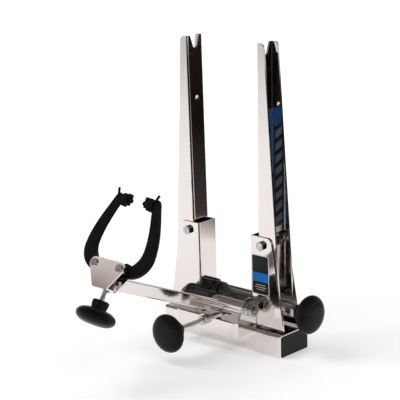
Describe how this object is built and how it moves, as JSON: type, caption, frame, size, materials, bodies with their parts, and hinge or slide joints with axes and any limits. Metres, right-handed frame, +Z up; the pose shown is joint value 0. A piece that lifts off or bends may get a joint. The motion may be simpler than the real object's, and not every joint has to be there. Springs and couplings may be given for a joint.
{
  "type": "bicycle wheel truing stand",
  "caption": "Wheel truing stand with two notched channel uprights that a hand knob opens together, a sprung tilting arm and a twin-arm rim calliper with a screw knob.",
  "frame": {"origin": "middle of the base's underside, where the stand rests on the bench", "axes": "+X along the wheel's axle towards the spreader knob, -Y towards the calliper, +Z up"},
  "size_m": [0.2825, 0.3522, 0.468],
  "materials": {
    "polished_chrome": "mirror",
    "zinc_steel": "satin",
    "bright_screw": "polished",
    "yellow_zinc": "satin",
    "black_steel": "satin",
    "black_plastic": "satin",
    "knob_black": "semi-gloss"
  },
  "bodies": {
    "base": {"base": "polished_chrome", "base_floor": "zinc_steel", "hinge_hangers": "zinc_steel", "left_hinge_pin": "zinc_steel", "right_hinge_pin": "zinc_steel", "arm_bracket": "polished_chrome", "height_nut": "zinc_steel", "pivot_bolt": "yellow_zinc", "pivot_nut": "polished_chrome", "pivot_washers": "polished_chrome", "arm_spring": "black_steel"},
    "left_upright": {"left_bracket": "polished_chrome", "left_post": "polished_chrome", "left_bolts": "zinc_steel", "left_bolt_nuts": "zinc_steel", "left_spreader_nut": "zinc_steel", "collar": "black_plastic"},
    "right_upright": {"right_bracket": "polished_chrome", "right_post": "polished_chrome", "right_bolts": "zinc_steel", "right_bolt_nuts": "zinc_steel", "right_spreader_nut": "zinc_steel"},
    "spreader": {"spreader_shaft": "bright_screw", "spreader_lock_nut": "zinc_steel", "spreader_knob": "knob_black", "spreader_spring": "black_steel"},
    "arm": {"arm_tube": "polished_chrome", "arm_end_plate": "zinc_steel", "pivot_sleeve": "polished_chrome", "head_bracket": "polished_chrome", "head_pins": "zinc_steel", "head_washers": "polished_chrome", "head_springs": "zinc_steel", "head_screw": "yellow_zinc"},
    "left_calliper": {"left_calliper_arm": "black_steel", "left_finger": "black_steel", "left_finger_pin": "black_steel"},
    "right_calliper": {"right_calliper_arm": "black_steel", "right_finger": "black_steel", "right_finger_pin": "black_steel"},
    "calliper_lift": {"lift_bar": "bright_screw"},
    "calliper_knob_screw": {"calliper_screw": "bright_screw", "calliper_knob": "knob_black"},
    "height_push": {"height_foot": "bright_screw"},
    "height_knob_screw": {"height_screw": "bright_screw", "height_knob": "knob_black"}
  },
  "joints": [
    {"name": "spreader_spin", "type": "hinge", "parent": "base", "child": "spreader", "pos_m": [0, 0, 0.067], "axis": [1, 0, 0], "range_deg": [-665, 200], "deforming": ["spreader_spring"]},
    {"name": "right_upright_tilt", "type": "hinge", "parent": "base", "child": "right_upright", "pos_m": [0.054, 0, 0.015], "axis": [0, 1, 0], "range_deg": [-4.1, 1.25]},
    {"name": "left_upright_tilt", "type": "hinge", "parent": "base", "child": "left_upright", "pos_m": [-0.054, 0, 0.015], "axis": [0, -1, 0], "range_deg": [-4.1, 1.25]},
    {"name": "arm_tilt", "type": "hinge", "parent": "base", "child": "arm", "pos_m": [0, -0.035, 0.066], "axis": [1, 0, 0], "range_deg": [-15.8, 8]},
    {"name": "height_push_slide", "type": "slide", "parent": "base", "child": "height_push", "axis": [0, 1, 0], "range_m": [-0.0056, 0.0028]},
    {"name": "height_spin", "type": "hinge", "parent": "height_push", "child": "height_knob_screw", "pos_m": [0, -0.11, 0.046], "axis": [0, 1, 0], "range_deg": [-1320, 660]},
    {"name": "calliper_lift_slide", "type": "slide", "parent": "arm", "child": "calliper_lift", "axis": [0, 0.5299, 0.848], "range_m": [-0.0014, 0.0036]},
    {"name": "calliper_spin", "type": "hinge", "parent": "calliper_lift", "child": "calliper_knob_screw", "pos_m": [0, -0.28197, 0.1282], "axis": [0, 0.5299, 0.848], "range_deg": [-310, 850]},
    {"name": "left_calliper_swing", "type": "hinge", "parent": "arm", "child": "left_calliper", "pos_m": [-0.025, -0.25415, 0.17272], "axis": [0, -0.848, 0.5299], "range_deg": [-4.4, 12]},
    {"name": "right_calliper_swing", "type": "hinge", "parent": "arm", "child": "right_calliper", "pos_m": [0.025, -0.25415, 0.17272], "axis": [0, 0.848, -0.5299], "range_deg": [-4.4, 12]}
  ],
  "couplings": [
    {"joint": "right_upright_tilt", "follows": "spreader_spin", "ratio": 0.0061213},
    {"joint": "left_upright_tilt", "follows": "spreader_spin", "ratio": 0.0061213},
    {"joint": "arm_tilt", "follows": "height_spin", "ratio": 0.011937},
    {"joint": "height_push_slide", "follows": "height_spin", "m_per_rad": 0.00023873},
    {"joint": "calliper_lift_slide", "follows": "calliper_spin", "m_per_rad": 0.00023873},
    {"joint": "left_calliper_swing", "follows": "calliper_spin", "ratio": 0.014043},
    {"joint": "right_calliper_swing", "follows": "calliper_spin", "ratio": 0.014043}
  ]
}
